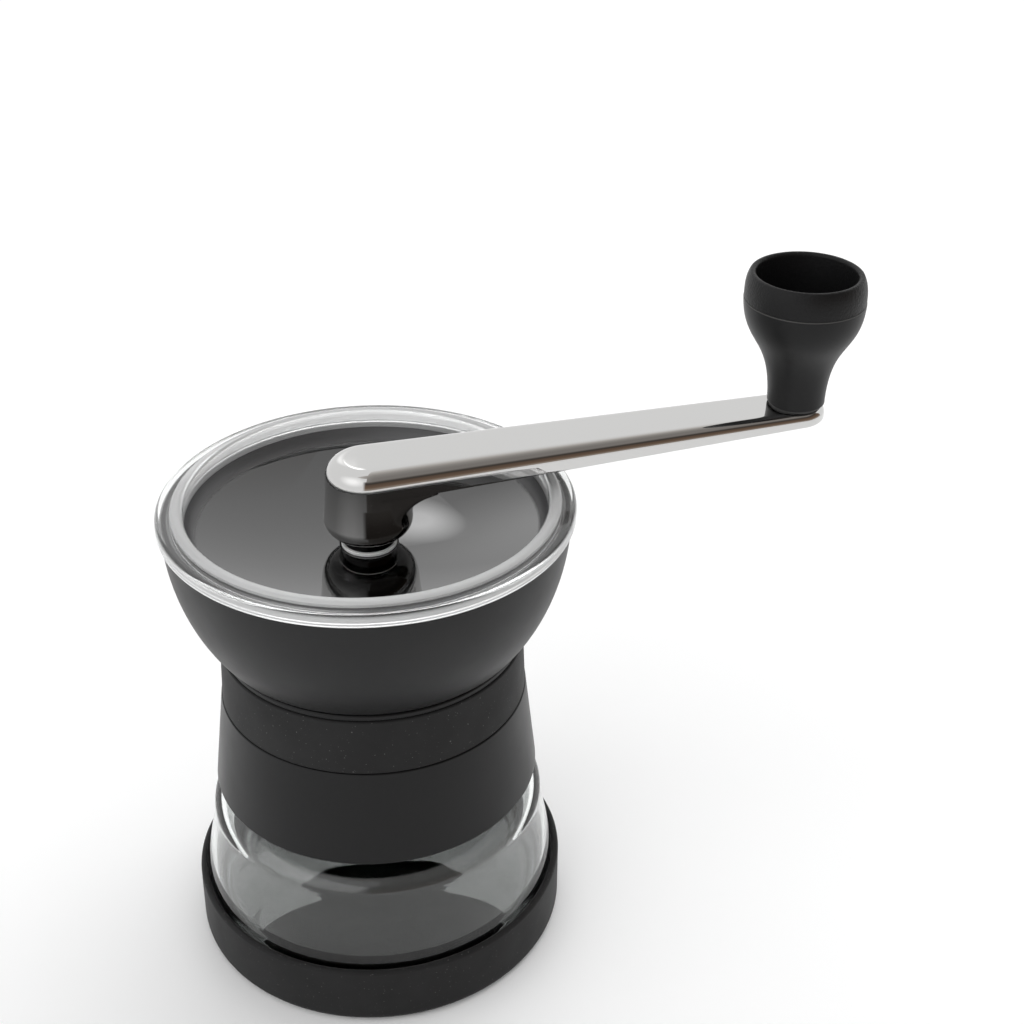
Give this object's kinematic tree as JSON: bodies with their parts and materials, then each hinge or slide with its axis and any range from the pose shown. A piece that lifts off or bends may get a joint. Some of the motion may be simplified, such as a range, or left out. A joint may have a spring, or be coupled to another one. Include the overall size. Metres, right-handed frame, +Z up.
{
  "type": "manual coffee grinder",
  "caption": "Hand-cranked coffee grinder: glass jar, screw-on black head with hopper and conical ceramic burrs, clear dished lid and a lift-off polished crank with a cupped knob.",
  "frame": {"origin": "centre of the base's underside, on the shaft's axis", "axes": "+Z up along the shaft; +X from the shaft towards the knob at rest; +Y to the crank's left"},
  "size_m": [0.1719, 0.098, 0.1658],
  "materials": {
    "boot_silicone": "matte silicone",
    "jar_glass": "clear glass",
    "gasket_silicone": "matte silicone",
    "body_plastic": "satin",
    "band_silicone": "matte silicone",
    "hopper_plastic": "fine matte grain",
    "steel": "turned",
    "spring_steel": "phosphated",
    "ceramic": "unglazed",
    "inner_plastic": "moulded",
    "bushing_polymer": "smooth bearing polymer",
    "clear_acrylic": "clear polished",
    "grommet_rubber": "satin",
    "chrome": "polished",
    "ring_nylon": "smooth white nylon",
    "nylon": "moulded",
    "knob_plastic": "smooth satin",
    "knob_rim_plastic": "fine matte grain"
  },
  "bodies": {
    "jar": {"jar": "jar_glass", "base_boot": "boot_silicone"},
    "seal": {"neck_gasket": "gasket_silicone"},
    "head": {"collar": "body_plastic", "grip_band": "band_silicone", "hopper": "hopper_plastic", "hopper_screws": "steel", "outer_burr": "ceramic", "burr_retainer": "inner_plastic", "bearing_bridge": "inner_plastic", "upper_bushing": "bushing_polymer", "lower_bushing": "bushing_polymer"},
    "drive": {"drive_shaft": "steel", "thrust_washer": "bushing_polymer", "retaining_clip": "spring_steel", "spring_washer": "steel", "burr_spring": "spring_steel"},
    "burr": {"inner_burr": "ceramic", "burr_driver": "steel"},
    "adjuster": {"adjuster_nut": "inner_plastic"},
    "lid": {"lid": "clear_acrylic", "lid_grommet": "grommet_rubber"},
    "crank": {"crank_arm": "chrome", "hub_ring": "ring_nylon", "knob_pin": "steel", "knob_washer": "nylon"},
    "knob": {"knob_stem": "knob_plastic", "knob_rim": "knob_rim_plastic"}
  },
  "joints": [
    {"name": "seal_lift", "type": "slide", "parent": "jar", "child": "seal", "axis": [0, 0, 1], "range_m": [0, 0.009]},
    {"name": "head_unscrew", "type": "hinge", "parent": "seal", "child": "head", "pos_m": [0, 0, 0.08], "axis": [0, 0, 1], "range_deg": [0, 540]},
    {"name": "shaft_turn", "type": "hinge", "parent": "head", "child": "drive", "pos_m": [0, 0, 0.09], "axis": [0, 0, 1], "continuous": true},
    {"name": "burr_slide", "type": "slide", "parent": "drive", "child": "burr", "axis": [0, 0, 1], "range_m": [-0.002, 0], "deforming": ["burr_spring"]},
    {"name": "adjuster_turn", "type": "hinge", "parent": "burr", "child": "adjuster", "pos_m": [0, 0, 0.056], "axis": [0, 0, 1], "range_deg": [-720, 0]},
    {"name": "crank_lift", "type": "slide", "parent": "drive", "child": "crank", "axis": [0, 0, 1], "range_m": [0, 0.06]},
    {"name": "lid_lift", "type": "slide", "parent": "head", "child": "lid", "axis": [0, 0, 1], "range_m": [0, 0.03]},
    {"name": "knob_spin", "type": "hinge", "parent": "crank", "child": "knob", "pos_m": [0.1081, 0, 0.14], "axis": [0, 0, 1], "continuous": true}
  ],
  "couplings": [
    {"joint": "seal_lift", "follows": "head_unscrew", "m_per_rad": 0.00095492},
    {"joint": "adjuster_turn", "follows": "burr_slide", "rad_per_m": 6283.2},
    {"joint": "lid_lift", "follows": "crank_lift", "ratio": 0.5}
  ]
}
